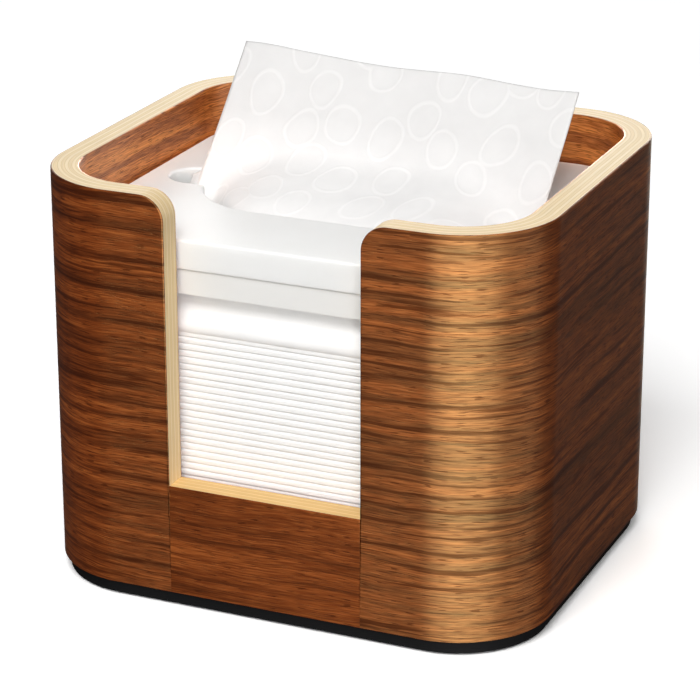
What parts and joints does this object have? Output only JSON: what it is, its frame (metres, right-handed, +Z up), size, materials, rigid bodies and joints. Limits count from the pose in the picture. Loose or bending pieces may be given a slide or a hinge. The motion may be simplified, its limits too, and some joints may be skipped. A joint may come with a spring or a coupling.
{
  "type": "tabletop napkin holder",
  "caption": "Open-topped bent-plywood box with a front window, holding a stack of interfolded napkins under a loose weighted plate with a slot.",
  "frame": {"origin": "on the table, under the middle of the body", "axes": "+Z up, the window faces -Y, +X to the right seen from the front"},
  "size_m": [0.196, 0.17, 0.179],
  "materials": {
    "birch_ply": "clear satin lacquer on the edges of the plies",
    "walnut_face": "clear satin lacquer on veneer, grain running round the box",
    "walnut_inside": "clear satin lacquer on veneer",
    "walnut_rail": "clear satin lacquer on veneer, plainer grain",
    "beech": "bare turned wood",
    "black_abs": "moulded, fine texture",
    "zinc_steel": "zinc plated",
    "foot_rubber": "matt",
    "frosted_plastic": "frosted, slightly translucent white",
    "frosted_plastic_tray": "frosted white",
    "bar_steel": "bright drawn bar",
    "napkin_paper": "soft white tissue",
    "napkin_leaf_paper": "soft white tissue with an embossed pattern"
  },
  "bodies": {
    "holder": {"wrap_core": "birch_ply", "outer_veneer": "walnut_face", "inner_veneer": "walnut_inside", "rail_core": "birch_ply", "rail_face_veneer": "walnut_rail", "rail_back_veneer": "walnut_inside", "rail_dowels": "beech", "base_tray": "black_abs", "base_screws": "zinc_steel", "foot_front_left": "foot_rubber", "foot_front_right": "foot_rubber", "foot_rear_left": "foot_rubber", "foot_rear_right": "foot_rubber", "napkin_stack": "napkin_paper", "top_napkin": "napkin_paper"},
    "press_plate": {"press_plate_cover": "frosted_plastic", "press_plate_tray": "frosted_plastic_tray", "ballast_bar_front": "bar_steel", "ballast_bar_rear": "bar_steel", "plate_screws": "zinc_steel"},
    "napkin": {"pulled_napkin": "napkin_leaf_paper"}
  },
  "joints": [
    {"name": "plate_lift", "type": "slide", "parent": "holder", "child": "press_plate", "axis": [0, 0, 1], "range_m": [0, 0.06]},
    {"name": "napkin_pull", "type": "slide", "parent": "press_plate", "child": "napkin", "axis": [0, 0.7193, 0.6947], "range_m": [0, 0.028]}
  ]
}
